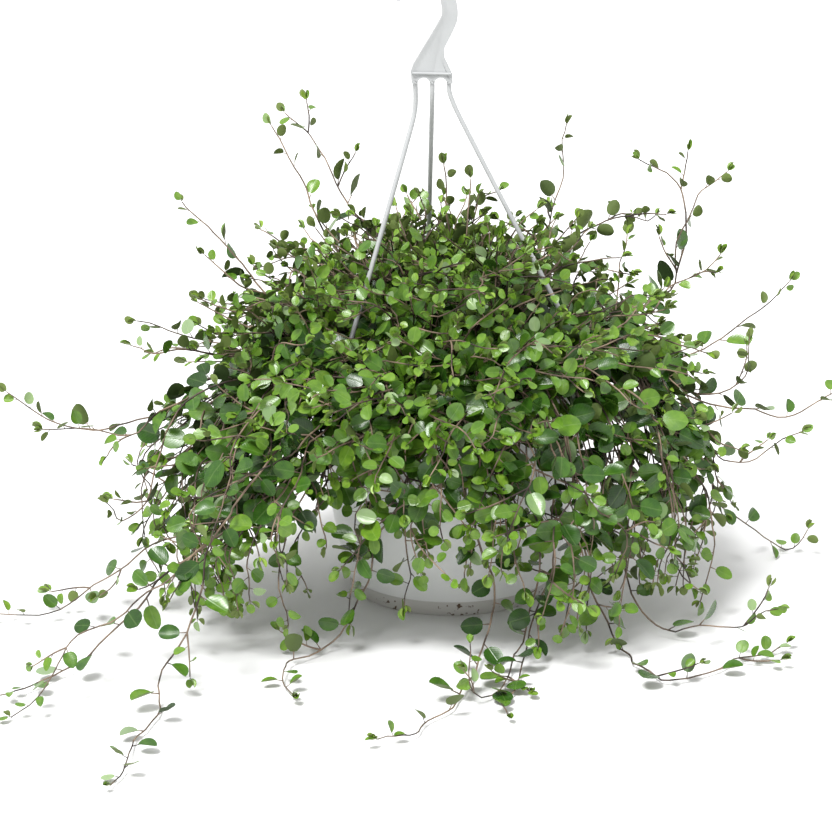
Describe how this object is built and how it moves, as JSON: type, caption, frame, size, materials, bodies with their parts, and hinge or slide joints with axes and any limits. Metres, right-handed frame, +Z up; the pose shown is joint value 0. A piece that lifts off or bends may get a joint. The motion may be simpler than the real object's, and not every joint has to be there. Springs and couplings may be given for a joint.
{
  "type": "potted wire vine",
  "caption": "Creeping wire vine with round leaves on thin brown stems, spilling from a tapered white hanging pot with a three-strand hook hanger.",
  "frame": {"origin": "centre of the pot's underside, on the surface the pot stands on", "axes": "+Z up along the pot's axis, +X to the right and +Y away from the viewer, with the hook plate in the XZ plane"},
  "size_m": [0.4433, 0.3872, 0.3142],
  "materials": {
    "white_plastic": "satin",
    "hanger_plastic": "satin",
    "potting_mix": "matte",
    "leafy_stem": "satin"
  },
  "bodies": {
    "root": {"pot": "white_plastic", "soil": "potting_mix", "hanger": "hanger_plastic", "vine_01": "leafy_stem", "vine_02": "leafy_stem", "vine_03": "leafy_stem", "vine_04": "leafy_stem", "vine_05": "leafy_stem", "vine_06": "leafy_stem", "vine_07": "leafy_stem", "vine_08": "leafy_stem", "vine_09": "leafy_stem", "vine_10": "leafy_stem", "vine_11": "leafy_stem", "vine_12": "leafy_stem", "vine_13": "leafy_stem", "vine_14": "leafy_stem", "vine_15": "leafy_stem", "vine_16": "leafy_stem", "vine_17": "leafy_stem", "vine_18": "leafy_stem", "vine_19": "leafy_stem", "vine_20": "leafy_stem", "vine_21": "leafy_stem", "vine_22": "leafy_stem", "vine_23": "leafy_stem", "vine_24": "leafy_stem", "vine_25": "leafy_stem", "vine_26": "leafy_stem", "vine_27": "leafy_stem", "vine_28": "leafy_stem", "vine_29": "leafy_stem", "vine_30": "leafy_stem", "vine_31": "leafy_stem", "vine_32": "leafy_stem", "vine_33": "leafy_stem", "vine_34": "leafy_stem", "vine_35": "leafy_stem", "vine_36": "leafy_stem", "vine_37": "leafy_stem", "vine_38": "leafy_stem", "vine_39": "leafy_stem", "vine_40": "leafy_stem", "vine_41": "leafy_stem", "vine_42": "leafy_stem", "vine_43": "leafy_stem", "vine_44": "leafy_stem", "vine_45": "leafy_stem", "vine_46": "leafy_stem", "vine_47": "leafy_stem", "vine_48": "leafy_stem", "vine_49": "leafy_stem", "vine_50": "leafy_stem", "vine_51": "leafy_stem", "vine_52": "leafy_stem", "vine_53": "leafy_stem", "vine_54": "leafy_stem", "vine_55": "leafy_stem", "vine_56": "leafy_stem", "vine_57": "leafy_stem"}
  },
  "joints": []
}
